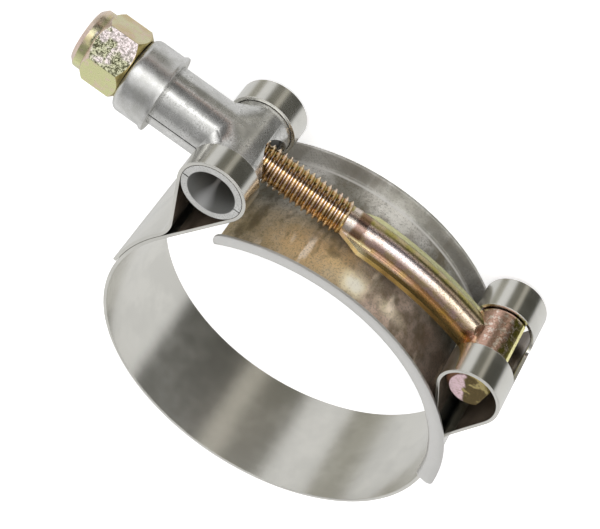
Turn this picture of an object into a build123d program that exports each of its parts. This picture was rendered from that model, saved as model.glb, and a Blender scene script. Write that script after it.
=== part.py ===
from build123d import *
import os
from math import acos, atan2, cos, degrees, hypot, radians, sin, sqrt, tan

# A T-bolt clamp for a hose, opened to the end of its thread.
# The hose axis is Z and the origin lies on it, in the middle of the band's width.
# The bolt runs along X on the +Y side: nut and trunnion towards -X, T head towards +X.
# Lengths are in millimetres and angles in degrees, counted from +X towards +Y.

# Band: one strip, bent to a ring, with a welded loop at each end
seat_d = 57.2                # hose seat inside the bridge
band_w = 20.0
band_t = 0.6
lap_gap = 0.04               # between layers that lie flat on each other
s_bend_share = 0.22          # bend of a returning layer, as a share of the ring's radius
left_tail_deg = 25.0         # length of each tail on the outside of the ring
right_tail_deg = 16.5
left_lift_deg = 1.2          # the outer layer leaves the ring this much nearer the gap
right_lift_deg = 2.5
weld_l = 2.5                 # spot weld under each tail, along the ring and across it
weld_w = 9.0
left_slack = 1.3             # extra radius on the slack side of each loop
right_slack = 1.62
left_slack_deg = 176.0       # where the slack side starts
right_slack_deg = 62.0
slot_side_gap = 0.65         # between the neck and each side of its slot
left_slot_drop = 0.75        # end of the neck's slot below the underside of the neck
left_slot_rise = 1.4         # on the gap's side it ends this much above the underside
right_slot_drop = 0.55       # end of the shank's slot below the T head's axis
right_gap_drop = 1.7         # the same on the gap's side
right_slot_gap = 0.3
slot_corner_r = 2.0

# Bridge: liner that closes the gap between the loops, with a flange on each side
bridge_t = 0.5
bridge_start_deg = 7.0
bridge_end_deg = 129.0
flange_h = 2.95
flange_lean_deg = 12.0
flange_bend = 0.45            # bevel on the outside of each fold
flange_nose_r = 2.3          # rounded corners at the end under the trunnion
flange_corner_r = 1.2        # rounded corners at the other end
band_side_gap = 0.35         # from the band's edge to the flange

# Trunnion: two pressed shells that form a cross tube and a neck, held by a collar
trunnion_deg = 126.27        # direction of the cross tube from the hose axis
bore_gap = 0.665             # round the stud's core, for the crests of its thread
shell_t = 1.1
crotch_l = 0.5               # bevel between the neck and the cross tube
crotch_inset = 0.02          # its tube lies this much inside the others
split_gap = 0.22
exit_flare = 0.5             # hole where the bolt leaves the cross tube, beyond its bore
exit_depth = 0.6             # from the cross tube's axis
neck_l = 19.85               # from the cross tube's axis to the face that the nut bears on
collar_l = 5.9
collar_wall = 1.1
collar_front_t = 1.0
rim_flare = 0.3
rim_l = 0.9
collar_round = 1.3
collar_hole_gap = 0.05

# T-bolt, M6 with a half-round shank; the stud is drawn at its thread's core
thread_core_d = 4.77
bolt_rise = 2.7              # bolt axis above the bridge
bolt_offset = 0.8            # bolt axis above the trunnion's axis
stud_inset = 0.7             # end of the stud inside the end of the nut
stud_chamfer = 0.7
runout_d = 4.9
runout_back = 28.7           # end of the thread, before the T head's axis
shank_back = 25.0            # where the shank has its full width
bend_back = 23.5             # start of the bend
shank_bend_r = 53.0
shank_end_back = 4.3         # corners of the shank's pointed end, and its tip
shank_tip_back = 1.3
shank_end_slope_deg = 40.0
shank_w = 7.7
wing_lift = 0.2              # upper side of the wings above the bolt axis
wing_t = 0.9
dome_r = 2.35
t_deg = 48.1                 # direction of the T head from the hose axis
t_standoff = 7.24            # from the band's ring to the T head's axis
t_bar_d = 7.8
t_bar_inset = 0.8            # from the band's edge to each end of the bar
t_end_bevel = 0.8
t_boss_step = 0.35
t_boss_l = 7.7
t_flat = 2.45                # from the axis to the flat back

# Lock nut
nut_af = 10.0
nut_face_deg = 37.4          # direction of one flat, from +Y towards +Z
nut_hex_l = 6.4
nut_crown_l = 2.0
nut_crown_step = 0.15        # crown inside the flats
nut_crown_bevel = 0.75
nut_chamfer_step = 0.1       # chamfer cones inside the flats
nut_chamfer_deg = 46.0       # slope of the cones against the end faces
nut_mouth_wall = 1.7
nut_run_gap = 0.09           # radial clearance to the bolt
insert_wall = 0.75           # metal round the insert
insert_l = 1.4
insert_gap = 0.01
lip_l = 0.3                  # metal rolled over the insert

# Fits of the loops
trunnion_gap = 0.05
t_bar_gap = 0.38

seat_r = seat_d / 2
bridge_r = seat_r + bridge_t
ring_r = bridge_r + lap_gap + band_t / 2
lap_r = ring_r + band_t + lap_gap
s_bend_r = s_bend_share * ring_r
rim_r = seat_r + flange_h
core_r = thread_core_d / 2
bore_r = core_r + bolt_offset + bore_gap
tube_r = bore_r + shell_t
collar_r = tube_r + lap_gap + collar_wall
left_loop_r = tube_r + trunnion_gap + band_t / 2
right_loop_r = t_bar_d / 2 + t_bar_gap + band_t / 2
bolt_y = bridge_r + bolt_rise
trunnion_y = bolt_y - bolt_offset
trunnion_x = trunnion_y / tan(radians(trunnion_deg))
trunnion_c = (trunnion_x, trunnion_y)
cross_l = band_w
t_x = (ring_r + t_standoff) * cos(radians(t_deg))
t_y = (ring_r + t_standoff) * sin(radians(t_deg))
t_c = (t_x, t_y)
t_bar_l = band_w - 2 * t_bar_inset
collar_x = trunnion_x - neck_l
hex_x = collar_x - nut_hex_l
nut_end_x = hex_x - nut_crown_l
stud_end_x = nut_end_x + stud_inset
nut_bore_r = core_r + nut_run_gap
insert_r = nut_af / 2 - nut_crown_step - insert_wall


def polar(radius, deg, centre=(0, 0)):
    return (centre[0] + radius * cos(radians(deg)), centre[1] + radius * sin(radians(deg)))


def leave_deg(centre, radius, turn, next_centre, next_radius):
    """Angle on a circle where the straight run to the next circle, which turns the other way, starts."""
    dx, dy = next_centre[0] - centre[0], next_centre[1] - centre[1]
    return degrees(atan2(dy, dx)) - turn * degrees(acos((radius + next_radius) / hypot(dx, dy)))


def band_path():
    """Arcs of the strip's middle line from tail to tail, as (centre, radius, turn, from, to)."""
    from_left_loop = leave_deg(trunnion_c, left_loop_r, -1, (0, 0), ring_r)
    to_right_loop = leave_deg((0, 0), ring_r, 1, t_c, right_loop_r)
    left_lift = from_left_loop + 180 - left_lift_deg
    right_lift = to_right_loop - right_lift_deg
    left_s = polar(lap_r + s_bend_r, left_lift)
    right_s = polar(lap_r + s_bend_r, right_lift)
    left_wide_r, right_wide_r = left_loop_r + left_slack, right_loop_r + right_slack
    left_wide = polar(-left_slack, left_slack_deg, trunnion_c)
    right_wide = polar(-right_slack, right_slack_deg, t_c)
    to_left_loop = leave_deg(left_s, s_bend_r, 1, left_wide, left_wide_r)
    to_right_s = leave_deg(right_wide, right_wide_r, -1, right_s, s_bend_r)
    return [
        ((0, 0), lap_r, -1, left_lift + left_tail_deg, left_lift),
        (left_s, s_bend_r, 1, left_lift + 180, to_left_loop),
        (left_wide, left_wide_r, -1, to_left_loop + 180, left_slack_deg),
        (trunnion_c, left_loop_r, -1, left_slack_deg, from_left_loop),
        ((0, 0), ring_r, 1, from_left_loop + 180, to_right_loop),
        (t_c, right_loop_r, -1, to_right_loop + 180, right_slack_deg),
        (right_wide, right_wide_r, -1, right_slack_deg, to_right_s),
        (right_s, s_bend_r, 1, to_right_s + 180, right_lift + 180),
        ((0, 0), lap_r, -1, right_lift, right_lift - right_tail_deg),
    ]


def band_side(shift):
    """Edges of the line that runs beside the strip's middle line, shift to its left, and its two ends."""
    edges, start, end = [], None, None
    for centre, radius, turn, from_deg, to_deg in band_path():
        r = radius - turn * shift
        first = polar(r, from_deg, centre)
        if end and hypot(first[0] - end[0], first[1] - end[1]) > 1e-4:
            edges.append(Line(end, first))
        edges.append(CenterArc(centre, r, from_deg, turn * ((turn * (to_deg - from_deg)) % 360)))
        start = start or first
        end = polar(r, to_deg, centre)
    return edges, start, end


def x_plane(x, y):
    """Plane across the bolt, with its X along the object's Y and its Y along the object's Z."""
    return Plane(origin=(x, y, 0), x_dir=(0, 1, 0), z_dir=(1, 0, 0))


def slot_cutter(from_x, length, bottom_y, width):
    """Block that opens the middle of a loop above bottom_y, with rounded lower corners."""
    height = 8 * tube_r
    outline = Pos(bottom_y + height / 2, 0) * Rectangle(height, width)
    outline = fillet(outline.vertices().group_by(Axis.X)[0], slot_corner_r)
    return extrude(x_plane(from_x, 0) * outline, length)


def weld(arc):
    """Spot weld that joins a tail to the ring in the middle of the tail's arc."""
    block = Box(band_t + lap_gap, weld_l, weld_w)
    return Rot(0, 0, (arc[3] + arc[4]) / 2) * Pos((ring_r + lap_r) / 2, 0, 0) * block


def make_band():
    inner, inner_start, inner_end = band_side(band_t / 2)
    outer, outer_start, outer_end = band_side(-band_t / 2)
    caps = [Line(inner_start, outer_start), Line(inner_end, outer_end)]
    strip = extrude(make_face([*inner, *outer, *caps]), band_w / 2, both=True)
    neck_slot = 2 * tube_r + 2 * slot_side_gap
    under_neck = trunnion_y - tube_r
    strip -= slot_cutter(trunnion_x, -4 * tube_r, under_neck - left_slot_drop, neck_slot)
    strip -= slot_cutter(trunnion_x, 2 * tube_r, under_neck + left_slot_rise, neck_slot)
    shank_slot = t_boss_l + 2 * right_slot_gap
    strip -= slot_cutter(t_x, t_bar_d, t_y - right_slot_drop, shank_slot)
    strip -= slot_cutter(t_x, -t_bar_d, t_y - right_gap_drop, shank_slot)
    arcs = band_path()
    return strip + weld(arcs[0]) + weld(arcs[-1])


def bridge_section():
    """Section of the bridge, with the radius along X and the hose axis along Y."""
    base = band_w / 2 + band_side_gap + bridge_t / 2
    floor_r = seat_r + bridge_t / 2
    tip_r = floor_r + 2 * flange_h
    tip = base + (tip_r - floor_r) * tan(radians(flange_lean_deg))
    line = Polyline((tip_r, -tip), (floor_r, -base), (floor_r, base), (tip_r, tip))
    section = make_face(offset(line, bridge_t / 2, side=Side.BOTH, kind=Kind.INTERSECTION))
    section = section & Pos((seat_r + rim_r) / 2, 0) * Rectangle(flange_h, 2 * band_w)
    return chamfer(section.vertices().sort_by(Axis.X)[:2], flange_bend)


def make_bridge():
    strip = revolve(Plane.XZ * bridge_section(), Axis.Z, 360)
    start, end = polar(rim_r, bridge_start_deg), polar(rim_r, bridge_end_deg)
    rim = CenterArc((0, 0), rim_r, bridge_start_deg, bridge_end_deg - bridge_start_deg)
    sector = make_face([Line((0, 0), start), rim, Line(end, (0, 0))])
    corner = sector.vertices().sort_by_distance(end)[0]
    sector = fillet(corner, flange_nose_r)
    corner = sector.vertices().sort_by_distance(start)[0]
    sector = fillet(corner, flange_corner_r)
    return strip & extrude(sector, band_w, both=True)


def rod(radius, x_from, x_to, y):
    return extrude(x_plane(x_from, y) * Circle(radius), x_to - x_from)


def tee(radius, neck_from, length):
    """Solid tee of a neck along X and a cross bar along Z."""
    return rod(radius, neck_from, trunnion_x, trunnion_y) + Pos(*trunnion_c, 0) * Cylinder(radius, length)


def crotch(side):
    """Oblique tube that bevels the corner between the neck and one arm of the cross tube."""
    radius = tube_r - crotch_inset
    reach = 2 * tube_r + crotch_l - sqrt(2) * radius
    plane = Plane(origin=(trunnion_x - reach, trunnion_y, 0), z_dir=(1, 0, side))
    return extrude(plane * Circle(radius), sqrt(2) * reach)


def make_shells():
    """Upper and lower half of the trunnion."""
    neck_x = collar_x + collar_front_t + lap_gap
    body = tee(tube_r, neck_x, cross_l) + crotch(1) + crotch(-1)
    body -= tee(bore_r, neck_x - shell_t, 2 * cross_l)
    body -= rod(bore_r + exit_flare, trunnion_x + exit_depth, trunnion_x + 2 * tube_r, trunnion_y)
    size = 2 * (trunnion_x - neck_x + 2 * tube_r)
    shift = (size + split_gap) / 2
    halves = [Pos(trunnion_x, trunnion_y + side * shift, 0) * Box(size, size, size) for side in (1, -1)]
    return [body & half for half in halves]


def make_collar():
    bore = tube_r + lap_gap
    hole = bore_r + collar_hole_gap
    rim = collar_r + rim_flare
    points = [(0, hole), (0, collar_r), (collar_l - rim_l, collar_r), (collar_l - rim_l / 2, rim)]
    points += [(collar_l, rim), (collar_l, bore), (collar_front_t, bore), (collar_front_t, hole)]
    section = make_face(Polyline(*points, close=True))
    section = fillet(section.vertices().sort_by_distance((0, collar_r))[0], collar_round)
    return Pos(collar_x, trunnion_y, 0) * revolve(section, Axis.X, 360)


def shank_section():
    """Half-round with a wing on each side, with the object's Y along X and its Z along Y."""
    wings = Pos(wing_lift - wing_t / 2, 0) * Rectangle(wing_t, shank_w)
    dome = Pos(wing_lift, 0) * Circle(dome_r)
    dome -= Pos(wing_lift - wing_t - dome_r, 0) * Rectangle(2 * dome_r, 2 * dome_r)
    return wings + dome


def shank_end_cutter(side):
    """Block beyond one of the two slopes that point the shank's end."""
    w = shank_w / 2
    tip_y = t_y + dome_r - wing_t
    out = Vector(w, 0, side * (shank_end_back - shank_tip_back)).normalized()
    slope = radians(shank_end_slope_deg)
    normal = out * cos(slope) + Vector(0, 1, 0) * sin(slope)
    size = 4 * t_bar_d
    plane = Plane(origin=(t_x - shank_tip_back, tip_y, 0), x_dir=(0, 1, 0), z_dir=normal)
    return plane * Pos(0, 0, size / 2) * Box(size, size, size)


def make_shank():
    """Straight start and bend of the shank, with its wings drawn in to the stud and a pointed end."""
    bend_x, runout_x = t_x - bend_back, t_x - runout_back
    straight = extrude(x_plane(runout_x, bolt_y) * shank_section(), bend_x - runout_x)
    axis = Axis((bend_x, bolt_y - shank_bend_r, 0), (0, 0, -1))
    bend = revolve(x_plane(bend_x, bolt_y) * shank_section(), axis, degrees(bend_back / shank_bend_r))
    w, neck = shank_w / 2, runout_d / 2
    shank_x = t_x - shank_back
    corners = [(runout_x, -neck), (shank_x, -w), (t_x, -w), (t_x, w), (shank_x, w), (runout_x, neck)]
    frame = Plane(origin=(0, 0, 0), x_dir=(1, 0, 0), z_dir=(0, -1, 0))
    outline = extrude(frame * make_face(Polyline(*corners, close=True)), 2 * bolt_y, both=True)
    dome_x = shank_x + (shank_back - bend_back) / 2
    clear = Pos((runout_x + dome_x) / 2, bolt_y + wing_lift + dome_r, 0)
    shank = (straight + bend) & outline
    shank -= clear * Box(dome_x - runout_x, 2 * dome_r, shank_w)
    return shank - shank_end_cutter(1) - shank_end_cutter(-1)


def make_t_head():
    bar = Cylinder(t_bar_d / 2, t_bar_l)
    bar = chamfer(bar.edges().filter_by(GeomType.CIRCLE), t_end_bevel)
    head = bar + Cylinder(t_bar_d / 2 + t_boss_step, t_boss_l)
    head -= Pos(t_flat + t_bar_d, 0, 0) * Box(2 * t_bar_d, 2 * t_bar_d, 2 * t_bar_l)
    return Pos(*t_c, 0) * head


def make_t_bolt():
    stud = rod(core_r, stud_end_x, t_x - bend_back, bolt_y)
    stud = chamfer(stud.edges().group_by(Axis.X)[0], stud_chamfer)
    stud += rod(runout_d / 2, t_x - runout_back, t_x - bend_back, bolt_y)
    return stud + make_shank() + make_t_head()


def chamfer_cone(x, towards):
    """Cone that starts just inside the flats at x and widens in the direction towards."""
    inner = nut_af / 2 - nut_chamfer_step
    height = nut_hex_l * towards
    outer = inner + nut_hex_l / tan(radians(nut_chamfer_deg))
    profile = Polyline((x, 0), (x, inner), (x + height, outer), (x + height, 0), close=True)
    return Pos(0, bolt_y, 0) * revolve(make_face(profile), Axis.X, 360)


def make_nut():
    corner_r = nut_af / 2 / cos(radians(30))
    hexagon = RegularPolygon(corner_r, 6, rotation=nut_face_deg - 30)
    body = extrude(x_plane(hex_x, bolt_y) * hexagon, nut_hex_l)
    body = body & chamfer_cone(collar_x, -1) & chamfer_cone(hex_x, 1)
    crown = rod(nut_af / 2 - nut_crown_step, nut_end_x, hex_x + nut_crown_l, bolt_y)
    body += chamfer(crown.edges().group_by(Axis.X)[0], nut_crown_bevel)
    body -= rod(nut_bore_r, nut_end_x, collar_x, bolt_y)
    body -= rod(nut_af / 2 - nut_crown_step - nut_mouth_wall, nut_end_x, nut_end_x + lip_l, bolt_y)
    return body - rod(insert_r, nut_end_x + lip_l, nut_end_x + lip_l + insert_l, bolt_y)


def make_insert():
    x = nut_end_x + lip_l
    ring = rod(insert_r - insert_gap, x + insert_gap, x + insert_l - insert_gap, bolt_y)
    return ring - rod(nut_bore_r, x, x + insert_l, bolt_y)


if __name__ == "__main__":
    os.makedirs("parts", exist_ok=True)
    upper, lower = make_shells()
    nodes = {
        "band": make_band(),
        "bridge": make_bridge(),
        "trunnion_upper": upper,
        "trunnion_lower": lower,
        "trunnion_collar": make_collar(),
        "t_bolt": make_t_bolt(),
        "lock_nut": make_nut(),
        "nut_insert": make_insert(),
    }
    for name, shape in nodes.items():
        export_step(shape, f"parts/{name}.step")
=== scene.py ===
"""Looks of a T-bolt hose clamp: the bent band, the thread, every finish and the stage.

Lengths are in millimetres and angles in degrees, counted from +X towards +Y. They are turned into
metres and radians where Blender and the frame take them.
"""

from math import acos, atan2, cos, degrees, hypot, pi, radians, sin, sqrt
from types import SimpleNamespace

import bpy
from bpy.props import FloatProperty, FloatVectorProperty, IntProperty, PointerProperty
from mathutils import Matrix, Vector


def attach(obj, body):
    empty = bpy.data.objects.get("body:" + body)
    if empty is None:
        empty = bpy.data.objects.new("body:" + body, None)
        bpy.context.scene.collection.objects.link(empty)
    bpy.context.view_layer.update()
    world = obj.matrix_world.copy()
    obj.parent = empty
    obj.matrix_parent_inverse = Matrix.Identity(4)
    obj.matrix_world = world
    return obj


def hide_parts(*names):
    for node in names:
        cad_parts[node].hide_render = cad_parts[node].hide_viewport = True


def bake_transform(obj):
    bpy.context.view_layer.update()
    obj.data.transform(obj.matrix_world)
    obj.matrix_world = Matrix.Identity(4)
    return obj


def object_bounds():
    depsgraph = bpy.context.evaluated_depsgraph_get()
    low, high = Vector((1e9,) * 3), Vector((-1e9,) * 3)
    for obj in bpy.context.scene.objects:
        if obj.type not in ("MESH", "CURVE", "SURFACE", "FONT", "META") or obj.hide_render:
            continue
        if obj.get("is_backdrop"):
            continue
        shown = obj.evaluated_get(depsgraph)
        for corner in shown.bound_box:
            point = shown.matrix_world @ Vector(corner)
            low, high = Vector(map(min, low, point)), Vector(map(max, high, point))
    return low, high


bl_info = {
    "name": "T-Bolt Clamp Looks",
    "version": (1, 0, 0),
    "blender": (4, 5, 0),
    "location": "View3D > Sidebar > Clamp",
    "description": "Builds the band, the thread, the finishes and the stage of a T-bolt clamp",
    "category": "Object",
}

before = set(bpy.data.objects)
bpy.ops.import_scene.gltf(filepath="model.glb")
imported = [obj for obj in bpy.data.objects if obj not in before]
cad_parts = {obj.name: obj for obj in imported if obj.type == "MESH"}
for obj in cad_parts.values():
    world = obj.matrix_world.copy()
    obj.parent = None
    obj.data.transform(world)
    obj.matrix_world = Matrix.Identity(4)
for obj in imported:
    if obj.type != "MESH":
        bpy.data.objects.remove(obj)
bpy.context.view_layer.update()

MM = 0.001
BOLT_Y = 31.8                    # height of the bolt's axis
LEFT_LOOP = (-22.746, 31.0)      # centre of the loop round the trunnion's cross tube
RIGHT_LOOP = (24.496, 27.301)    # centre of the loop round the T head
LEFT_SLACK_DEG = 176.0           # where the slack side of each loop starts
RIGHT_SLACK_DEG = 62.0
EAR_X, EAR_Y = 15.0, 18.0        # the loops lie further out than this, on the bolt's side

# The band's mesh
LARGE_R = 20.0                   # arcs above this radius take the finer step
LARGE_STEP_DEG, BEND_STEP_DEG = 1.5, 4.0
STRAIGHT_STEP = 0.8
STRAIGHT_MIN = 0.3               # a shorter gap between two arcs gets no points of its own
SAME_POINT = 0.02                # nearer points than this are one
SLOT_COLUMNS = 6                 # faces across the width of a slot
LOOP_INSIDE = 0.35               # faces that look at a loop's axis by this much are its inside
LAP_MARGIN = 0.4                 # the ring ends this much under the tails' middle line

# Widths of the rounded edges, and the angle from which an edge of pressed metal counts as one
SHEET_EDGE, SHELL_EDGE, NUT_EDGE = 0.12, 0.25, 0.14
PRESSED_DEG = 25
SAME_CORNER = 0.002              # corners nearer than this are joined first

# The thread: place along the axis in pitches, and height from root to crest
THREAD_PROFILE = ((-0.44, 0.0), (-0.07, 1.0), (0.07, 1.0), (0.44, 0.0))
THREAD_SINK = 0.02               # of its root, under the stud's surface
RUN_OUT_TURNS = 1.2

# Colours that only one finish takes, as linear red, green and blue
WHITE = (1.0, 1.0, 1.0)
SPECK_SHARE = 0.45               # brightness of the strip's specks, against its dark tone
BRIDGE_UNDERSIDE = (0.66, 0.6501, 0.6138)
# Painted reflection of the bolt on the bridge, and painted brown shade beside it
BRIDGE_REFLECTED_OLIVE = ((0.60, 0.47, 0.25), (0.84, 0.68, 0.44))
BRIDGE_REFLECTED_ROSE = ((0.58, 0.41, 0.28), (1.0, 0.76, 0.62))
BRIDGE_BROWN_SHADE = (0.24, 0.15, 0.10)
# Painted gold reflection of the thread
BRIDGE_GOLD_REFLECTION = (1.0, 0.74, 0.40)
# Painted glints on the bridge, and their painted highlight core
BRIDGE_GLINTS = ((1.0, 0.98, 0.92), (1.0, 0.90, 0.64))
BRIDGE_GLINT_CORE = (1.0, 0.98, 0.90)
# Painted gleam and painted shade, in streaks across the bridge
BRIDGE_GLEAM = (1.0, 0.84, 0.66)
BRIDGE_SHADE = (0.17, 0.13, 0.07)
BRIDGE_SPECKS = (0.18, 0.1674, 0.1332)
BRIDGE_RIM = (0.74, 0.7326, 0.7104)
# Paler far flange, and a painted highlight along its fold
BRIDGE_PALE_AND_FOLD_HIGHLIGHT = (0.80, 0.792, 0.76)
SHELL_SPECKS = (0.26, 0.26, 0.2392)
# Painted shade inside the cross tube, and a painted wedge of light
TUBE_INSIDE_SHADE = ((0.13, 0.13, 0.1222), (0.34, 0.34, 0.3264))
TUBE_LIGHT_WEDGE = (0.80, 0.80, 0.80)
SHANK_TAN = (0.84, 0.68, 0.52)
# Brown and olive coating on the shank's sides, darker as painted shade
SHANK_BROWN_SHADE = ((0.60, 0.44, 0.26), (0.62, 0.42, 0.38))
SHANK_OLIVE_SHADE = ((0.40, 0.35, 0.10), (0.50, 0.40, 0.22))
# Far wing: coating tone and a painted sheen
FAR_WING_TONE_AND_SHEEN = ((0.94, 0.94, 0.62), (0.80, 0.78, 0.38))
NEAR_WING = ((0.42, 0.31, 0.12), (0.96, 0.86, 0.66))
WING_TIP = (0.90, 0.84, 0.62)
# Painted highlight and painted shadow at the thread's run-out
RUN_OUT_SILVER_HIGHLIGHT = (0.78, 0.68, 0.60)
RUN_OUT_BROWN_SHADOW = (0.26, 0.14, 0.09)
HEAD_ROSE, HEAD_OLIVE = (0.74, 0.48, 0.38), (0.36, 0.32, 0.06)
# Painted highlights on the T head: streaks, and a line along the slot's edge
HEAD_HIGHLIGHT_STREAKS = (0.96, 0.82, 0.72)
HEAD_EDGE_HIGHLIGHT = (0.98, 0.92, 0.46)
HEAD_END_PINK = (0.84, 0.62, 0.66)
HEAD_END_OLIVE = ((0.11, 0.08, 0.03), (0.44, 0.36, 0.16))
BOLT_SPECKS = (0.26, 0.18, 0.08)
NUT_SIDE = (0.68, 0.68, 0.36)
NUT_ROSE = (0.76, 0.57, 0.50)
NUT_BEVEL_ROSE, NUT_BEVEL_OLIVE = (0.80, 0.62, 0.58), (0.42, 0.34, 0.10)
NUT_CROWN = (0.86, 0.72, 0.60)
NUT_GLITTER = ((0.66, 0.58, 0.58), (0.44, 0.44, 0.30))
NUT_PITS = (0.06, 0.06, 0.03)

# Cards round the clamp, which its metal reflects
DARK_CARD = (0.058, 0.057, 0.045)
BROWN_CARD = (0.16, 0.155, 0.125)
GREY_CARD = (0.34, 0.33, 0.28)
WARM_CARD = (0.50, 0.48, 0.42)
SOFT_CARD = (0.50, 0.49, 0.45)
RUST_CARD = (0.45, 0.26, 0.18)
# Surroundings below the clamp: direction, and the brightness or card that stands there
BELOW = (
    (0, 0.80), (15, 0.80), (22, DARK_CARD), (77, DARK_CARD), (84, WARM_CARD), (93, WARM_CARD),
    (99, BROWN_CARD), (123, BROWN_CARD), (131, 0.80), (158, 0.80), (163, GREY_CARD),
    (182, GREY_CARD), (196, 0.75), (248, 0.75), (264, SOFT_CARD), (280, SOFT_CARD), (289, 0.80),
    (360, 0.80),
)
# Surroundings above it: tilt from +Y over +Z towards -Y, and the same
ABOVE = (
    (-180, 0.75), (-60, 0.8), (-24, 0.8), (-19, RUST_CARD), (-14, 0.06), (4, 0.07), (12, 0.35),
    (19, 0.9), (25, 2.3), (31, 2.3), (38, 1.4), (54, 0.9), (66, 0.7), (76, 0.32), (108, 0.30),
    (120, 0.65), (134, 0.72), (148, 0.74), (156, 0.9), (180, 0.95),
)
STRAIGHT_DOWN = 0.8              # brightness of the surroundings right under the clamp
# Where the cards below end, as a soft step in the sine of the height over the horizon
CARDS_TOP, CARDS_FOOT = (-0.50, -0.40), (-0.86, -0.74)

# Lamps: name, place, size and the setting that holds their power
LAMPS = (
    ("key", (-30, 130, 330), (320, 160), "key"),
    ("side_left", (-320, 60, 160), (160, 120), "fill"),
    ("side_right", (320, 40, 160), (160, 120), "fill"),
)
FLOOR_HALF, FLOOR_GAP = 1500.0, 0.02
SENSOR_W = 36.0


def length(name, description, mm, **limits):
    """Setting for a length."""
    return FloatProperty(name=name, description=description, default=mm * MM, unit="LENGTH",
                         precision=5, **limits)


def lengths(name, description, *mm):
    """Setting for several lengths."""
    return FloatVectorProperty(name=name, description=description, size=len(mm), unit="LENGTH",
                               precision=5, default=[value * MM for value in mm])


def angle(name, description, deg):
    """Setting for an angle."""
    return FloatProperty(name=name, description=description, default=radians(deg),
                         subtype="ANGLE")


def direction(name, description, *way):
    """Setting for a direction."""
    return FloatVectorProperty(name=name, description=description, default=way,
                               subtype="DIRECTION")


def tone(name, description, *colour):
    """Setting for a colour, as linear red, green and blue."""
    return FloatVectorProperty(name=name, description=description, size=4, subtype="COLOR",
                               min=0, max=1, default=(*colour, 1.0))


class BandSettings(bpy.types.PropertyGroup):
    """Sizes of the strip and its path."""
    ring_r: length("Ring radius", "Middle line of the ring", 29.44, min=0)
    lap_r: length("Tail radius", "Middle line of the tails", 30.08, min=0)
    thickness: length("Thickness", "Thickness of the strip", 0.6, min=0)
    width: length("Width", "Width of the strip", 20.0, min=0)
    bend_r: length("Bend radius", "Bend of the outer layer back to the ring", 6.477, min=0)
    left_centre: lengths("Left loop", "Centre of the trunnion's loop", *LEFT_LOOP)
    right_centre: lengths("Right loop", "Centre of the T head's loop", *RIGHT_LOOP)
    left_r: length("Left radius", "Middle line of the left loop", 5.3, min=0)
    right_r: length("Right radius", "Middle line of the right loop", 4.58, min=0)
    left_slack: length("Left slack", "Radius of the left loop's slack side", 6.6, min=0)
    right_slack: length("Right slack", "Radius of the right loop's slack side", 6.2, min=0)
    left_lift: angle("Left lift", "The outer layer leaves the ring this much before the inner one",
                     1.2)
    right_lift: angle("Right lift", "The same on the right", 2.5)
    left_tail: angle("Left tail", "Length of the left tail on the ring", 25.0)
    right_tail: angle("Right tail", "Length of the right tail on the ring", 16.5)
    left_slot: lengths("Left slot", "Half width, end on the outer side, end on the gap's side",
                       5.6, 25.3, 27.45)
    right_slot: lengths("Right slot", "The same on the right", 4.15, 26.75, 25.6)
    slot_round: length("Slot rounding", "Corner radius of the slots", 2.0, min=0)
    rows: IntProperty(name="Rows", description="Faces across each ear", default=6, min=2)


class ThreadSettings(bpy.types.PropertyGroup):
    """Sizes of the bolt's thread."""
    core_r: length("Core radius", "Radius at the root", 2.385, min=0)
    crest_r: length("Crest radius", "Radius at the crest", 2.93, min=0)
    pitch: length("Pitch", "Advance per turn", 1.0, min=0.1 * MM)
    start_x: length("Start", "Free end of the thread", -50.1)
    end_x: length("End", "Run-out of the thread", -4.2)
    axis_y: length("Axis height", "Height of the bolt's axis", BOLT_Y)
    steps: IntProperty(name="Steps", description="Segments per turn", default=36, min=8)


class FinishSettings(bpy.types.PropertyGroup):
    """Main colours of the finishes."""
    strip_light: tone("Strip, light", "Bright areas of the band", 0.76, 0.7486, 0.6992)
    strip_dark: tone("Strip, dark", "Clouds on the band", 0.69, 0.67965, 0.6348)
    # Painted shade inside the loops
    shaded_loop_light: tone("Loop, light", "Inside of the loops", 0.30, 0.24, 0.186)
    shaded_loop_dark: tone("Loop, dark", "Clouds inside the loops", 0.12, 0.0912, 0.0672)
    liner_light: tone("Bridge, light", "Pale clouds on the bridge", 0.72, 0.7092, 0.6768)
    liner_dark: tone("Bridge, dark", "Dull clouds on the bridge", 0.34, 0.3264, 0.2788)
    shell_light: tone("Shells, light", "Bright areas of the shells", 0.76, 0.7562, 0.7372)
    shell_dark: tone("Shells, dark", "Clouds on the shells", 0.60, 0.597, 0.576)
    collar_light: tone("Collar, light", "Bright areas of the collar", 0.72, 0.7164, 0.702)
    collar_dark: tone("Collar, dark", "Clouds on the collar", 0.58, 0.5771, 0.551)
    dome_light: tone("Shank, light", "Coating along the shank's dome", 0.97, 0.86, 0.86)
    dome_rose: tone("Shank, rose", "Patches along the shank's dome", 0.90, 0.72, 0.62)
    crest_gold: tone("Crests, gold", "Crests of the thread", 0.88, 0.70, 0.44)
    crest_rose: tone("Crests, rose", "Rose patches on the crests", 0.93, 0.74, 0.60)
    # Painted shade in the thread's grooves
    groove_shade: tone("Grooves", "Grooves of the thread", 0.42, 0.28, 0.10)
    nut_gold: tone("Nut, gold", "Flats of the nut", 0.66, 0.54, 0.32)
    nut_green: tone("Nut, green", "Green patches on the flats", 0.70, 0.66, 0.42)
    plastic_dark: tone("Insert, dark", "Plastic ring", 0.045, 0.03, 0.022)
    plastic_light: tone("Insert, light", "Grain of the plastic ring", 0.09, 0.06, 0.045)
    floor: tone("Floor", "Floor under the clamp", 0.9, 0.9, 0.9)


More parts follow.
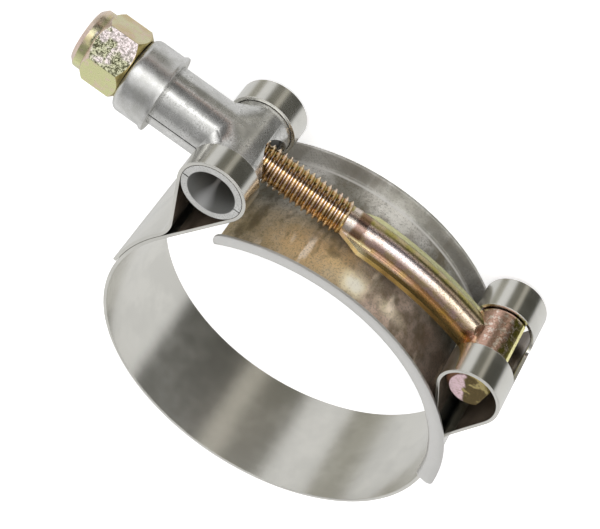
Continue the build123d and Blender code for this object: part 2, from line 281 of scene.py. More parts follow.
class StageSettings(bpy.types.PropertyGroup):
    """Camera, lamps, floor and surroundings."""
    camera_at: lengths("Camera", "Place of the camera", -13.7, 204.0, 143.8)
    camera_right: direction("Right", "Direction to the picture's right", 0.81448, 0.37406, -0.44342)
    camera_down: direction("Down", "Direction to the picture's lower edge",
                           0.57922, -0.48042, 0.6585)
    lens: FloatProperty(name="Lens", description="Focal length on a sensor 36 mm wide",
                        default=91.5, min=10, unit="CAMERA")
    key: FloatProperty(name="Key", description="Power of the large lamp", default=0.25, min=0,
                       unit="POWER")
    fill: FloatProperty(name="Fill", description="Power of each side lamp", default=0.08, min=0,
                        unit="POWER")
    floor_glow: FloatProperty(name="Floor glow", default=0.6, min=0,
                              description="Light that only the camera sees on the floor")
    world: FloatProperty(name="Surroundings", description="Strength of the surroundings",
                         default=1.0, min=0)


def settings(name):
    """Values of a settings group: lengths in mm, angles in degrees, all others as they are."""
    group = getattr(bpy.context.scene, name)
    factors = {"LENGTH": 1 / MM, "ROTATION": degrees(1)}
    values = {}
    for key, setting in group.bl_rna.properties.items():
        if key in ("rna_type", "name"):
            continue
        value, factor = getattr(group, key), factors.get(setting.unit, 1)
        values[key] = tuple(v * factor for v in value) if setting.is_array else value * factor
    return SimpleNamespace(**values)


class Wire:
    """A node's output that takes part in formulas."""

    def __init__(self, shader, socket):
        self.shader, self.socket = shader, socket

    def _math(self, operation, *values):
        return self.shader.node("ShaderNodeMath", {"operation": operation}, *values)

    def __add__(self, other):
        return self._math("ADD", self, other)

    def __radd__(self, other):
        return self._math("ADD", other, self)

    def __sub__(self, other):
        return self._math("SUBTRACT", self, other)

    def __rsub__(self, other):
        return self._math("SUBTRACT", other, self)

    def __mul__(self, other):
        return self._math("MULTIPLY", self, other)

    def __rmul__(self, other):
        return self._math("MULTIPLY", other, self)

    def __truediv__(self, other):
        return self._math("DIVIDE", self, other)

    def __rtruediv__(self, other):
        return self._math("DIVIDE", other, self)

    def __neg__(self):
        return self._math("MULTIPLY", self, -1.0)

    def __abs__(self):
        return self._math("ABSOLUTE", self)

    def turn(self, across):
        """Angle in radians, with this value as its sine's part and across as its cosine's."""
        return self._math("ARCTAN2", self, across)

    def ramp(self, low, high, to_low=0.0, to_high=1.0):
        """Smooth step of this value from low to high."""
        return self.shader.node("ShaderNodeMapRange", {"interpolation_type": "SMOOTHSTEP"},
                                self, low, high, to_low, to_high)

    def mix(self, a, b):
        """Colour a where this value is 0 and b where it is 1."""
        # The node has sockets for every kind of value, and these numbers are the colour ones
        inputs = {"0": self, "6": opaque(a), "7": opaque(b)}
        return self.shader.node("ShaderNodeMix", {"data_type": "RGBA"}, out=2, **inputs)

    def xyz(self):
        """Its three parts."""
        first = self.shader.node("ShaderNodeSeparateXYZ", {}, self)
        return [Wire(self.shader, socket) for socket in first.socket.node.outputs]


class Shader:
    """The nodes of a material or of the world, emptied first."""

    def __init__(self, owner):
        owner.use_nodes = True
        owner.node_tree.nodes.clear()
        self.owner, self.tree = owner, owner.node_tree

    def node(self, kind, options, *values, out=0, **named):
        """Adds a node with its options, fills its inputs and returns one of its outputs.

        Values go to the inputs in order, and named ones to the input of that name or number.
        """
        node = self.tree.nodes.new(kind)
        for key, value in options.items():
            if key == "stops":
                set_stops(node.color_ramp.elements, value)
            else:
                setattr(node, key, value)
        inputs = list(enumerate(values))
        for key, value in named.items():
            inputs.append((int(key) if key.isdigit() else key.replace("_", " "), value))
        for key, value in inputs:
            if isinstance(value, Wire):
                self.tree.links.new(value.socket, node.inputs[key])
            else:
                node.inputs[key].default_value = value
        return Wire(self, node.outputs[out]) if len(node.outputs) else None

    def point(self):
        """The point on the object, in millimetres."""
        spot = self.node("ShaderNodeTexCoord", {}, out="Object")
        return self.node("ShaderNodeVectorMath", {"operation": "SCALE"}, spot, Scale=1 / MM)

    def normal(self):
        """The direction of the surface."""
        return self.node("ShaderNodeTexCoord", {}, out="Normal")

    def vector(self, x, y, z):
        """A vector from three values."""
        return self.node("ShaderNodeCombineXYZ", {}, x, y, z)

    def noise(self, at, scale, detail, rough):
        """Noise at a point, with scale in waves per millimetre."""
        return self.node("ShaderNodeTexNoise", {}, Vector=at, Scale=scale, Detail=detail,
                         Roughness=rough)

    def bump(self, height, strength, depth, **normal):
        """Normal from a height, with depth in millimetres."""
        return self.node("ShaderNodeBump", {}, Strength=strength, Distance=depth * MM,
                         Height=height, **normal)

    def surface(self, **inputs):
        """Ends a material with its surface shader, and returns it."""
        shader = self.node("ShaderNodeBsdfPrincipled", {}, **inputs)
        self.node("ShaderNodeOutputMaterial", {}, Surface=shader)
        return self.owner


def set_stops(elements, stops):
    """Fills a colour ramp with stops of place and colour."""
    while len(elements) > 1:
        elements.remove(elements[-1])
    for index, (place, colour) in enumerate(stops):
        element = elements[0] if index == 0 else elements.new(place)
        element.position = place
        element.color = opaque(colour)


def opaque(colour):
    """A colour with an alpha of 1. Wires stay as they are, and a brightness becomes a grey."""
    if isinstance(colour, Wire):
        return colour
    return (*((colour,) * 3 if isinstance(colour, float) else colour[:3]), 1.0)


def new_shader(name):
    """Nodes of a new material."""
    return Shader(bpy.data.materials.new(name))


def beyond(x, y, low, high):
    """0 inside a circle and 1 outside it: a smooth step between two squared radii."""
    return (x * x + y * y).ramp(low, high)


def painted_light_spot(x, z, centre, size, ragged):
    """A patch with a ragged border, for painted highlights and reflections: 1 inside, 0 outside."""
    across, along = (x - centre[0]) / size[0], (z - centre[1]) / size[1]
    return 1.0 - (across * across + along * along + (ragged - 0.5) * 3.0).ramp(-0.2, 1.6)


def strip_steel(name, light, dark, metallic=1.0):
    """Bright rolled strip: long fine streaks round the ring, soft clouds and a few specks."""
    s = new_shader(name)
    at = s.point()
    x, y, z = at.xyz()
    along = y.turn(x) * 30.0     # length along the ring
    streaks = s.noise(s.vector(along * 0.06, z * 4.0, 0.0), 1.6, 5.0, 0.6)
    clouds = s.noise(at, 0.16, 3.0, 0.55)
    grain = s.noise(at, 5.0, 2.0, 0.6)
    specks = s.noise(at, 1.1, 4.0, 0.7).ramp(0.70, 0.76)
    colour = clouds.ramp(0.35, 0.65).mix(dark, light)
    colour = (specks * 0.5).mix(colour, [SPECK_SHARE * part for part in dark])
    rough = 0.17 + streaks * 0.08 + clouds.ramp(0.4, 0.7) * 0.03
    normal = s.bump(grain, 0.08, 0.02, Normal=s.bump(streaks, 0.10, 0.02))
    return s.surface(Base_Color=colour, Metallic=metallic, Roughness=rough, Normal=normal)


def liner_steel(f):
    """Dull strip of the bridge: olive clouds, painted glints, and a painted bronze and rose
    reflection of the bolt.
    """
    s = new_shader("liner_steel")
    at = s.point()
    x, y, z = at.xyz()
    clouds = s.noise(at, 0.16, 4.0, 0.6)
    tint = s.noise(at, 0.24, 4.0, 0.65)
    grain = s.noise(at, 3.0, 4.0, 0.85)
    outer = beyond(x, y, 824.0, 836.0)
    colour = clouds.ramp(0.40, 0.60).mix(f.liner_dark, f.liner_light)
    colour = outer.mix(BRIDGE_UNDERSIDE, colour)

    # Painted reflection of the bolt, between the bolt and the near rim: bronze, olive to the left
    # and rose to the right, turning brown further right as painted shade
    under = z.ramp(-1.5, 3.0) * (1.0 - z.ramp(9.6, 10.2)) * outer
    patches = tint.ramp(0.42, 0.58)
    bronze = x.ramp(-1.0, 5.0).mix(patches.mix(*BRIDGE_REFLECTED_OLIVE), patches.mix(*BRIDGE_REFLECTED_ROSE))
    bronze = (x.ramp(9.0, 15.0) * 0.6).mix(bronze, BRIDGE_BROWN_SHADE)
    colour = (under * 0.75).mix(colour, bronze)
    # Painted gold reflection of the thread, beside the bolt
    gold_reflection = painted_light_spot(x, z, (-5.0, 6.0), (8.0, 4.0), tint) * under
    colour = (gold_reflection * 0.75).mix(colour, BRIDGE_GOLD_REFLECTION)

    # Painted glints: bright ragged spots, the brightest one with a painted highlight core
    wear_and_glints = painted_light_spot(x, z, (1.0, -8.6), (6.0, 2.8), tint) * 0.8
    wear_and_glints = wear_and_glints + painted_light_spot(x, z, (1.8, 6.8), (2.8, 2.4), tint)
    wear_and_glints = wear_and_glints + painted_light_spot(x, z, (8.4, 6.2), (3.6, 1.4), tint) * 0.6
    wear_and_glints = wear_and_glints * grain.ramp(0.66, 0.52, 0.6, 1.0) * outer
    core = painted_light_spot(x, z, (2.0, 6.8), (1.6, 1.3), tint) * 0.6
    colour = wear_and_glints.mix(colour, z.ramp(-2.0, 2.0).mix(*BRIDGE_GLINTS))
    colour = core.mix(colour, BRIDGE_GLINT_CORE)

    # Painted reflections in streaks across the strip: painted gleam for the light ones, painted
    # shade for the dark ones, and fine specks
    gleam = s.noise(s.vector(x * 0.50, 0.0, z * 0.14), 0.8, 3.0, 0.6).ramp(0.55, 0.68) * under
    colour = (gleam * 0.9).mix(colour, BRIDGE_GLEAM)
    shade = s.noise(s.vector(x * 0.30, 4.0, z * 0.16), 0.8, 3.0, 0.6).ramp(0.50, 0.62)
    colour = (shade * (1.0 - wear_and_glints) * outer * 0.6).mix(colour, BRIDGE_SHADE)
    specks = grain.ramp(0.50, 0.60) * (0.58 - wear_and_glints * 0.42 - under * 0.16)
    colour = specks.mix(colour, BRIDGE_SPECKS)

    # Bare rim of the near flange, and the far flange, paler, with a painted highlight along its
    # fold
    rim = z.ramp(9.5, 9.8)
    colour = rim.mix(colour, BRIDGE_RIM)
    fold_highlight = 1.0 - abs(z + 9.75).ramp(0.12, 0.30)
    colour = (z.ramp(-9.4, -9.8) * 0.4 + fold_highlight * 0.5).mix(colour, BRIDGE_PALE_AND_FOLD_HIGHLIGHT)
    rough = 0.36 + grain.ramp(0.3, 0.7) * 0.16
    # Less metal where the bolt's reflection, the glints, the gleam and the fold highlight are
    # painted, so that their colour shows
    metallic = 0.74 + rim * 0.26 - under * 0.12 - wear_and_glints * 0.50 - gleam * 0.35 - fold_highlight * 0.2
    return s.surface(Base_Color=colour, Metallic=metallic, Roughness=rough,
                     Normal=s.bump(grain, 0.40, 0.08))


def pressed_steel(f):
    """Grey pressed shells with patches of fine specks, and a dull inside: painted shade with a
    lighter wedge of painted light.
    """
    s = new_shader("pressed_steel")
    at = s.point()
    x, y, z = at.xyz()
    x, y = x - LEFT_LOOP[0], y - LEFT_LOOP[1]
    clouds = s.noise(at, 0.45, 4.0, 0.6)
    specks = s.noise(at, 3.4, 3.0, 0.75)
    patchy = clouds.ramp(0.42, 0.58)
    colour = clouds.ramp(0.35, 0.65).mix(f.shell_dark, f.shell_light)
    colour = (specks.ramp(0.48, 0.62) * (0.1 + patchy * 0.45)).mix(colour, SHELL_SPECKS)

    # Inside of the cross tube: painted shade, darkest deep inside and lighter towards its mouth,
    # with a painted wedge of light
    hollow = (1.0 - beyond(x, y, 15.2, 15.8)) * abs(z).ramp(3.6, 4.2)
    mouth = abs(z).ramp(4.5, 9.5)
    wedge = 1.0 - abs(x + 0.4).ramp(0.1, 0.5 + mouth * 1.4)
    inside = (mouth * 0.5).mix(*TUBE_INSIDE_SHADE)
    inside = (wedge * 0.6).mix(inside, TUBE_LIGHT_WEDGE)
    colour = hollow.mix(colour, inside)
    rough = 0.20 + specks.ramp(0.35, 0.7) * (0.06 + patchy * 0.10) + hollow * 0.2
    return s.surface(Base_Color=colour, Metallic=0.88 - hollow * 0.45, Roughness=rough,
                     Normal=s.bump(specks, 0.12, 0.05))


def collar_steel(f):
    """Drawn cap, smoother than the shells."""
    s = new_shader("collar_steel")
    at = s.point()
    clouds = s.noise(at, 0.4, 3.0, 0.6)
    specks = s.noise(at, 4.0, 2.0, 0.7)
    colour = clouds.ramp(0.35, 0.65).mix(f.collar_dark, f.collar_light)
    rough = 0.27 + specks.ramp(0.35, 0.7) * 0.08
    return s.surface(Base_Color=colour, Metallic=0.92, Roughness=rough,
                     Normal=s.bump(specks, 0.12, 0.04))


def bolt_zinc(f):
    """Yellow coating on the forging: pink along the dome, brown and olive sides, green wings,
    painted highlights and shade.
    """
    s = new_shader("bolt_zinc")
    at = s.point()
    x, y, z = at.xyz()
    facing = s.normal().xyz()[2]
    patch = s.noise(at, 0.5, 3.0, 0.6)
    tint = s.noise(at, 1.2, 4.0, 0.65)
    grain = s.noise(at, 4.2, 3.0, 0.75)

    # Dome of the shank: tan towards the T head; its tone set by the way it faces, pale where the
    # highlight falls, brown on the near side and olive on the far one, partly coating tone and
    # partly painted highlight and shade
    dome = patch.ramp(0.45, 0.65).mix(f.dome_light, f.dome_rose)
    dome = x.ramp(6.0, 15.0).mix(dome, SHANK_TAN)
    dome = facing.ramp(0.68, 0.84).mix(dome, patch.ramp(0.4, 0.62).mix(*SHANK_BROWN_SHADE))
    dome = facing.ramp(0.30, -0.05).mix(dome, patch.ramp(0.4, 0.6).mix(*SHANK_OLIVE_SHADE))

    # Wings, with a pale edge on the near one
    edge = (1.0 - abs(z).ramp(2.9, 3.3)) * (1.0 - x.ramp(6.0, 11.0))
    near_wing = (1.0 - x.ramp(-1.0, 1.5)).mix(edge.mix(*NEAR_WING), WING_TIP)
    # The far wing's pale yellow-green: coating tone and a painted sheen
    wings = z.ramp(-0.1, 0.1).mix(tint.mix(*FAR_WING_TONE_AND_SHEEN), near_wing)
    on_wing = abs(z).ramp(2.36, 2.46)
    colour = on_wing.mix(dome, wings)

    # Run-out of the thread: a silver ring as a painted highlight, then a brown step as painted
    # shadow at the dome's start
    silver_highlight = (1.0 - x.ramp(-3.4, -2.8)) * x.ramp(-4.6, -4.2)
    colour = silver_highlight.mix(colour, RUN_OUT_SILVER_HIGHLIGHT)
    step = x.ramp(-3.4, -2.8) * (1.0 - (x + tint * 1.2).ramp(-1.0, -0.4)) * (1.0 - on_wing)
    colour = (step * 0.85).mix(colour, RUN_OUT_BROWN_SHADOW)

    # T head: rose with pale streaks as painted highlights, olive behind, and a yellow edge at the
    # slot as a painted highlight
    head = (x + patch * 2.0).ramp(25.6, 26.2).mix(HEAD_ROSE, HEAD_OLIVE)
    streaks = tint.ramp(0.50, 0.60) * (1.0 - x.ramp(25.4, 26.4) * 0.7)
    head = streaks.mix(head, HEAD_HIGHLIGHT_STREAKS)
    slot_edge_highlight = x.ramp(26.40, 26.55) * (1.0 - abs(z).ramp(4.1, 4.3))
    head = slot_edge_highlight.mix(head, HEAD_EDGE_HIGHLIGHT)
    away = beyond(x - RIGHT_LOOP[0], y - RIGHT_LOOP[1], 18.4, 18.8)
    at_head = (1.0 - away) * x.ramp(20.0, 20.2)
    colour = at_head.mix(colour, head)

    # Ends of the T head: pink on one half, streaked olive on the other
    across = x * 0.81 + y * 0.37 + patch * 1.6
    streaked = patch.ramp(0.52, 0.60).mix(*HEAD_END_OLIVE)
    end = abs(z).ramp(9.05, 9.15)
    colour = end.mix(colour, across.ramp(29.8, 30.2).mix(HEAD_END_PINK, streaked))

    coarse = 0.42 + x.ramp(7.0, 14.0) * 0.35 - on_wing * 0.3
    colour = (grain.ramp(0.50, 0.64) * coarse).mix(colour, BOLT_SPECKS)
    rough = 0.15 + grain.ramp(0.3, 0.7) * 0.12
    # Less metal on the far wing and on the T head's slot edge, so that their painted sheen and
    # highlight show
    far_wing = on_wing * (1.0 - at_head) * z.ramp(0.1, -0.1)
    metallic = 1.0 - far_wing * 0.5 - slot_edge_highlight * at_head * 0.8
    return s.surface(Base_Color=colour, Metallic=metallic, Roughness=rough,
                     Normal=s.bump(grain, 0.36, 0.07))


def thread_zinc(f):
    """Pale gold on the thread's crests, with rose patches, and brown-gold in its grooves as painted
    shade.
    """
    s = new_shader("thread_zinc")
    at = s.point()
    _, y, z = at.xyz()
    patch = s.noise(at, 0.6, 3.0, 0.6)
    crest = patch.ramp(0.4, 0.6).mix(f.crest_gold, f.crest_rose)
    # Darker towards the root: painted shade in the grooves
    colour = beyond(y - BOLT_Y, z, 5.9, 8.2).mix(f.groove_shade, crest)
    grain = s.noise(at, 5.0, 2.0, 0.6)
    return s.surface(Base_Color=colour, Metallic=1.0, Roughness=0.14 + grain * 0.10,
                     Normal=s.bump(grain, 0.10, 0.03))


def nut_zinc(f):
    """Pale gold flats with rose and green tones, and a flat with wear that glitters in patches,
    darker towards its lower edge as painted shade.
    """
    s = new_shader("nut_zinc")
    at = s.point()
    x, y, z = at.xyz()
    along, up, side = s.normal().xyz()
    patch = s.noise(at, 0.30, 2.0, 0.6)
    tint = s.noise(at, 0.8, 3.0, 0.6)
    grain = s.noise(at, 2.5, 4.0, 0.85)
    colour = patch.ramp(0.4, 0.6).mix(f.nut_gold, f.nut_green)
    colour = side.ramp(0.6, 0.95).mix(colour, NUT_SIDE)
    colour = (tint.ramp(0.5, 0.7) * 0.6).mix(colour, NUT_ROSE)

    # Bevels: rose at the crown's end, olive at the collar's
    slope = abs(along).ramp(0.25, 0.5)
    colour = (slope * along.ramp(0.0, -0.2) * 0.7).mix(colour, NUT_BEVEL_ROSE)
    colour = (slope * along.ramp(0.0, 0.2) * 0.8).mix(colour, NUT_BEVEL_OLIVE)
    crown = 1.0 - x.ramp(-49.8, -49.4)
    colour = (crown * (1.0 - side.ramp(0.2, 0.5)) * 0.7).mix(colour, NUT_CROWN)

    # Flat with wear: the one that looks up and towards the camera; its patches lighter at the top
    # and darker towards its lower edge as painted shade
    wear_and_glints = (up * 0.794 + side * 0.607).ramp(0.96, 0.985) * x.ramp(-49.6, -49.2)
    down = z * 0.794 - (y - BOLT_Y) * 0.607
    shade = (s.noise(at, 0.45, 2.0, 0.5) + down * 0.07).ramp(0.44, 0.60)
    pits = grain.ramp(0.47, 0.52) * (0.6 + shade * 0.4)
    colour = wear_and_glints.mix(colour, pits.mix(shade.mix(*NUT_GLITTER), NUT_PITS))
    rough = 0.20 + grain.ramp(0.3, 0.7) * 0.16
    return s.surface(Base_Color=colour, Metallic=1.0, Roughness=rough,
                     Normal=s.bump(grain, 0.26, 0.07))


def insert_plastic(f):
    """Dark plastic of the nut's ring."""
    s = new_shader("insert_plastic")
    grain = s.noise(s.point(), 3.0, 3.0, 0.6)
    return s.surface(Base_Color=grain.mix(f.plastic_dark, f.plastic_light),
                     Roughness=0.45 + grain * 0.15, Normal=s.bump(grain, 0.15, 0.04))


def dress(name, material):
    """Gives a piece of the CAD model its finish."""
    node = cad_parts[name]
    node.data.materials.clear()
    node.data.materials.append(material)
    return node


def new_mesh(name, points, faces, material):
    """Object with a mesh from points in millimetres."""
    mesh = bpy.data.meshes.new(name)
    mesh.from_pydata([Vector(point) * MM for point in points], [], faces)
    mesh.materials.append(material)
    piece = bpy.data.objects.new(name, mesh)
    bpy.context.scene.collection.objects.link(piece)
    return piece


def soften(piece, width, segments=2, sharp_deg=40):
    """Rounds the sharp edges of a piece a little."""
    weld = piece.modifiers.new("joined_edges", "WELD")
    weld.merge_threshold = SAME_CORNER * MM
    bevel = piece.modifiers.new("edge_rounding", "BEVEL")
    bevel.width = width * MM
    bevel.segments = segments
    bevel.limit_method = "ANGLE"
    bevel.angle_limit = radians(sharp_deg)
    bevel.harden_normals = True


def polar(radius, deg, centre=(0.0, 0.0)):
    """Point at a radius and an angle."""
    return centre[0] + radius * cos(radians(deg)), centre[1] + radius * sin(radians(deg))


def apart(a, b):
    """Distance between two points, of which only x and y count."""
    return hypot(b[0] - a[0], b[1] - a[1])


def leave_deg(centre, radius, turn, next_centre, next_radius):
    """Angle at which an arc runs into the next one, which bends the other way."""
    dx, dy = next_centre[0] - centre[0], next_centre[1] - centre[1]
    return degrees(atan2(dy, dx)) - turn * degrees(acos((radius + next_radius) / hypot(dx, dy)))


def band_arcs(b):
    """Arcs from the left tail to the right one: centre, radius, way of turning, start, end."""
    hose = (0.0, 0.0)
    left, right = b.left_centre, b.right_centre
    from_left = leave_deg(left, b.left_r, -1, hose, b.ring_r)
    to_right = leave_deg(hose, b.ring_r, 1, right, b.right_r)
    left_lift = from_left + 180 - b.left_lift
    right_lift = to_right - b.right_lift
    left_bend = polar(b.lap_r + b.bend_r, left_lift)
    right_bend = polar(b.lap_r + b.bend_r, right_lift)
    left_wide = polar(b.left_r - b.left_slack, LEFT_SLACK_DEG, left)
    right_wide = polar(b.right_r - b.right_slack, RIGHT_SLACK_DEG, right)
    to_left = leave_deg(left_bend, b.bend_r, 1, left_wide, b.left_slack)
    from_right = leave_deg(right_wide, b.right_slack, -1, right_bend, b.bend_r)
    return [
        (hose, b.lap_r, -1, left_lift + b.left_tail, left_lift),
        (left_bend, b.bend_r, 1, left_lift + 180, to_left),
        (left_wide, b.left_slack, -1, to_left + 180, LEFT_SLACK_DEG),
        (left, b.left_r, -1, LEFT_SLACK_DEG, from_left),
        (hose, b.ring_r, 1, from_left + 180, to_right),
        (right, b.right_r, -1, to_right + 180, RIGHT_SLACK_DEG),
        (right_wide, b.right_slack, -1, RIGHT_SLACK_DEG, from_right),
        (right_bend, b.bend_r, 1, from_right + 180, right_lift + 180),
        (hose, b.lap_r, -1, right_lift, right_lift - b.right_tail),
    ]


def band_path(b):
    """Samples along the strip's middle line: x, y and the normal's x and y."""
    samples = []
    for centre, radius, turn, start, end in band_arcs(b):
        size = (turn * (end - start)) % 360
        steps = max(3, round(size / (LARGE_STEP_DEG if radius > LARGE_R else BEND_STEP_DEG)))
        first = polar(radius, start, centre)
        if samples and apart(samples[-1], first) > STRAIGHT_MIN:
            x, y, nx, ny = samples[-1]
            count = max(2, round(apart(samples[-1], first) / STRAIGHT_STEP))
            for i in range(1, count):
                samples.append((x + (first[0] - x) * i / count, y + (first[1] - y) * i / count,
                                nx, ny))
        for i in range(steps + 1):
            deg = start + turn * size * i / steps
            spot = polar(radius, deg, centre)
            if not samples or apart(samples[-1], spot) >= SAME_POINT:
                samples.append((*spot, *polar(-turn, deg)))
    return samples


def slot_half(x, y, b):
    """Half width of the slot at a point of the strip, or None where the strip is whole."""
    half, outer_end, gap_end = b.left_slot if x < 0 else b.right_slot
    loop_x = (b.left_centre if x < 0 else b.right_centre)[0]
    rise = y - (outer_end if abs(x) > abs(loop_x) else gap_end)
    if rise <= 0 or abs(x) < EAR_X:
        return None
    if rise >= b.slot_round:
        return half
    return half - b.slot_round + sqrt(b.slot_round ** 2 - (b.slot_round - rise) ** 2)


def band_mesh(b):
    """Points and faces of the strip with both slots: two skins, and the edges between them."""
    samples = band_path(b)
    half_w, half_t, rows = b.width / 2, b.thickness / 2, b.rows
    count = 2 * (rows + 1) + SLOT_COLUMNS - 1
    points, slotted = [], []
    for x, y, nx, ny in samples:
        slot = slot_half(x, y, b)
        slotted.append(slot is not None)
        inner = slot or (b.left_slot if x < 0 else b.right_slot)[0] - b.slot_round
        ear = [inner + (half_w - inner) * i / rows for i in range(rows + 1)]
        middle = [-inner + 2 * inner * i / SLOT_COLUMNS for i in range(1, SLOT_COLUMNS)]
        for side in (half_t, -half_t):
            for z in [-z for z in reversed(ear)] + middle + ear:
                points.append((x + side * nx, y + side * ny, z))

    def at(i, skin, k):
        return (2 * i + skin) * count + k

    whole = {(i, k) for i in range(len(samples) - 1) for k in range(count - 1)
             if not (slotted[i] and slotted[i + 1] and rows <= k < rows + SLOT_COLUMNS)}
    faces = []
    for i, k in sorted(whole):
        faces.append((at(i, 0, k), at(i, 0, k + 1), at(i + 1, 0, k + 1), at(i + 1, 0, k)))
        faces.append((at(i, 1, k), at(i + 1, 1, k), at(i + 1, 1, k + 1), at(i, 1, k + 1)))
        if (i, k - 1) not in whole:
            faces.append((at(i, 0, k), at(i + 1, 0, k), at(i + 1, 1, k), at(i, 1, k)))
        if (i, k + 1) not in whole:
            faces.append((at(i, 0, k + 1), at(i, 1, k + 1), at(i + 1, 1, k + 1),
                          at(i + 1, 0, k + 1)))
        if (i - 1, k) not in whole:
            faces.append((at(i, 0, k), at(i, 1, k), at(i, 1, k + 1), at(i, 0, k + 1)))
        if (i + 1, k) not in whole:
            faces.append((at(i + 1, 0, k), at(i + 1, 0, k + 1), at(i + 1, 1, k + 1),
                          at(i + 1, 1, k)))
    return points, faces


class CLAMP_OT_band(bpy.types.Operator):
    """Build the strip with its loops round the trunnion and the T head, in place of the rigid band
    """
    bl_idname = "clamp.band"
    bl_label = "Band"

    def execute(self, context):
        b, f = settings("clamp_band"), settings("clamp_finish")
        points, faces = band_mesh(b)
        bright = strip_steel("strip_steel", f.strip_light, f.strip_dark)
        piece = new_mesh("band_strip", points, faces, bright)
        # Darker, less metallic copy of the strip for the loops' inside: painted shade
        inside = strip_steel("loop_steel", f.shaded_loop_light, f.shaded_loop_dark, metallic=0.7)
        piece.data.materials.append(inside)
        for face in piece.data.polygons:
            face.use_smooth = True
            spot = face.center / MM
            centre = b.left_centre if spot.x < 0 else b.right_centre
            inward = Vector((centre[0] - spot.x, centre[1] - spot.y, 0.0))
            in_loop = inward.dot(face.normal) > LOOP_INSIDE * inward.length
            if spot.y > EAR_Y and in_loop and hypot(spot.x, spot.y) > b.lap_r - LAP_MARGIN:
                face.material_index = 1
        soften(piece, SHEET_EDGE)
        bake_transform(piece)
        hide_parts("band")
        return {"FINISHED"}


class CLAMP_OT_bridge(bpy.types.Operator):
    """Give the bridge its finish"""
    bl_idname = "clamp.bridge"
    bl_label = "Bridge"

    def execute(self, context):
        steel = liner_steel(settings("clamp_finish"))
        soften(dress("bridge", steel), SHEET_EDGE, sharp_deg=PRESSED_DEG)
        return {"FINISHED"}


class CLAMP_OT_trunnion(bpy.types.Operator):
    """Give the trunnion's shells and collar their finish"""
    bl_idname = "clamp.trunnion"
    bl_label = "Trunnion"

    def execute(self, context):
        f = settings("clamp_finish")
        steel = pressed_steel(f)
        for name in ("trunnion_upper", "trunnion_lower"):
            soften(dress(name, steel), SHELL_EDGE, 3, PRESSED_DEG)
        soften(dress("trunnion_collar", collar_steel(f)), SHEET_EDGE)
        return {"FINISHED"}


def thread_mesh(t):
    """Points and faces of the helical ridge on the stud, which fades out at both ends."""
    total = int((t.end_x - t.start_x) / t.pitch * t.steps)
    lanes = len(THREAD_PROFILE)
    points, faces = [], []
    for i in range(total + 1):
        turns = i / t.steps
        fade = min(1.0, turns, (total - i) / (RUN_OUT_TURNS * t.steps))
        for along, height in THREAD_PROFILE:
            r = t.core_r - THREAD_SINK + (t.crest_r - t.core_r) * height * fade
            points.append((t.start_x + (turns + along) * t.pitch,
                           t.axis_y + r * cos(2 * pi * turns), r * sin(2 * pi * turns)))
    for i in range(total):
        for k in range(lanes - 1):
            a = lanes * i + k
            faces.append((a, a + lanes, a + lanes + 1, a + 1))
    faces += [tuple(range(lanes)), tuple(lanes * total + k for k in reversed(range(lanes)))]
    return points, faces


class CLAMP_OT_bolt(bpy.types.Operator):
    """Cut the thread on the bolt and give the bolt its finish"""
    bl_idname = "clamp.bolt"
    bl_label = "Bolt"

    def execute(self, context):
        f = settings("clamp_finish")
        dress("t_bolt", bolt_zinc(f))
        points, faces = thread_mesh(settings("clamp_thread"))
        piece = new_mesh("bolt_thread", points, faces, thread_zinc(f))
        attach(piece, "bolt")
        return {"FINISHED"}


class CLAMP_OT_nut(bpy.types.Operator):
    """Give the lock nut and its insert their finish"""
    bl_idname = "clamp.nut"
    bl_label = "Nut"

    def execute(self, context):
        f = settings("clamp_finish")
        soften(dress("lock_nut", nut_zinc(f)), NUT_EDGE, 3, PRESSED_DEG)
        dress("nut_insert", insert_plastic(f))
        return {"FINISHED"}


def add_camera(scene, s):
    """Camera at the photograph's viewing angle."""
    right, down = Vector(s.camera_right).normalized(), Vector(s.camera_down).normalized()
    back = right.cross(-down).normalized()
    camera = bpy.data.objects.new("camera", bpy.data.cameras.new("camera"))
    scene.collection.objects.link(camera)
    camera.data.lens, camera.data.sensor_width = s.lens, SENSOR_W
    camera.data.clip_start, camera.data.clip_end = 0.01, 20.0
    turn = Matrix((right, -down, back)).transposed().to_4x4()
    camera.matrix_world = Matrix.Translation(Vector(s.camera_at) * MM) @ turn
    scene.camera = camera


def add_lamp(scene, name, place, size, power):
    """Soft lamp that looks at the hose axis and is seen in no reflection."""
    lamp = bpy.data.lights.new(name, "AREA")
    lamp.shape = "RECTANGLE"
    lamp.size, lamp.size_y = size[0] * MM, size[1] * MM
    lamp.energy = power
    holder = bpy.data.objects.new(name, lamp)
    scene.collection.objects.link(holder)
    holder.location = Vector(place) * MM
    holder.rotation_euler = (-Vector(place)).normalized().to_track_quat("-Z", "X").to_euler()
    holder.visible_glossy = False


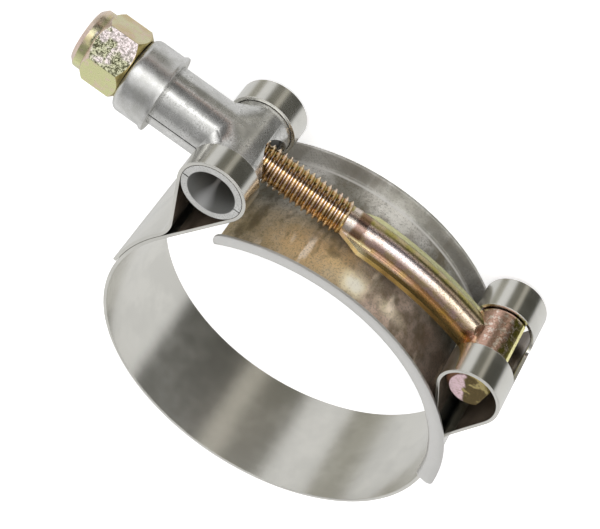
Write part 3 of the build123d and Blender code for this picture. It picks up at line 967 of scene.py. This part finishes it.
def add_floor(colour, strength):
    """White floor that takes the shadow and is left out of the reflections."""
    shader = new_shader("floor_white")
    sight = shader.node("ShaderNodeLightPath", {}, out="Is Camera Ray")
    matt = shader.node("ShaderNodeBsdfDiffuse", {}, Color=colour)
    glow = shader.node("ShaderNodeEmission", {}, Color=opaque(WHITE), Strength=strength)
    both = shader.node("ShaderNodeAddShader", {}, matt, glow)
    mixed = shader.node("ShaderNodeMixShader", {}, sight, matt, both)
    shader.node("ShaderNodeOutputMaterial", {}, Surface=mixed)
    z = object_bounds()[0][2] / MM - FLOOR_GAP
    corners = [(x * FLOOR_HALF, y * FLOOR_HALF, z) for x, y in ((-1, -1), (1, -1), (1, 1), (-1, 1))]
    floor = new_mesh("floor", corners, [(0, 1, 2, 3)], shader.owner)
    floor.visible_glossy = False
    floor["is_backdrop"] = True


def add_surroundings(scene, strength):
    """Studio that the metal reflects: cards below, a soft box and a dark front above.

    The camera sees white instead.
    """
    scene.world = bpy.data.worlds.new("surroundings")
    sky = Shader(scene.world)
    x, y, z = sky.node("ShaderNodeTexCoord", {}, out="Generated").xyz()
    compass = (-y).turn(-x) / (2 * pi) + 0.5
    tilt = z.turn(y) / (2 * pi) + 0.5
    cards = [(deg / 360.0, colour) for deg, colour in BELOW]
    boxes = [((deg + 180) / 360.0, colour) for deg, colour in ABOVE]
    below = sky.node("ShaderNodeValToRGB", {"stops": cards}, compass)
    above = sky.node("ShaderNodeValToRGB", {"stops": boxes}, tilt)
    colour = z.ramp(*CARDS_TOP).mix(below, above)
    colour = z.ramp(*CARDS_FOOT).mix(STRAIGHT_DOWN, colour)
    sight = sky.node("ShaderNodeLightPath", {}, out="Is Camera Ray")
    light = sky.node("ShaderNodeBackground", {}, Color=sight.mix(colour, WHITE),
                     Strength=strength)
    sky.node("ShaderNodeOutputWorld", {}, Surface=light)


class CLAMP_OT_stage(bpy.types.Operator):
    """Set the camera, lamps, surroundings and floor"""
    bl_idname = "clamp.stage"
    bl_label = "Stage"

    def execute(self, context):
        scene, s = context.scene, settings("clamp_stage")
        add_camera(scene, s)
        add_floor(settings("clamp_finish").floor, s.floor_glow)
        add_surroundings(scene, s.world)
        for name, place, size, power in LAMPS:
            add_lamp(scene, name, place, size, getattr(s, power))
        scene.view_settings.view_transform = "Standard"
        return {"FINISHED"}


class CLAMP_PT_panel(bpy.types.Panel):
    """Buttons for each step, and the settings they take"""
    bl_label = "T-Bolt Clamp"
    bl_idname = "CLAMP_PT_panel"
    bl_space_type = "VIEW_3D"
    bl_region_type = "UI"
    bl_category = "Clamp"

    def draw(self, context):
        for step in STEPS:
            self.layout.operator(f"clamp.{step}")
        for name in SETTINGS:
            group, column = getattr(context.scene, name), self.layout.column()
            for key in group.bl_rna.properties.keys():
                if key not in ("rna_type", "name"):
                    column.prop(group, key)


STEPS = ("band", "bridge", "trunnion", "bolt", "nut", "stage")
SETTINGS = {"clamp_band": BandSettings, "clamp_thread": ThreadSettings,
            "clamp_finish": FinishSettings, "clamp_stage": StageSettings}
CLASSES = (*SETTINGS.values(), CLAMP_OT_band, CLAMP_OT_bridge, CLAMP_OT_trunnion, CLAMP_OT_bolt,
           CLAMP_OT_nut, CLAMP_OT_stage, CLAMP_PT_panel)


def register():
    for cls in CLASSES:
        bpy.utils.register_class(cls)
    for name, group in SETTINGS.items():
        setattr(bpy.types.Scene, name, PointerProperty(type=group))


def unregister():
    for name in SETTINGS:
        delattr(bpy.types.Scene, name)
    for cls in reversed(CLASSES):
        bpy.utils.unregister_class(cls)


def main():
    register()
    for step in STEPS:
        getattr(bpy.ops.clamp, step)()


if __name__ == "__main__":
    main()
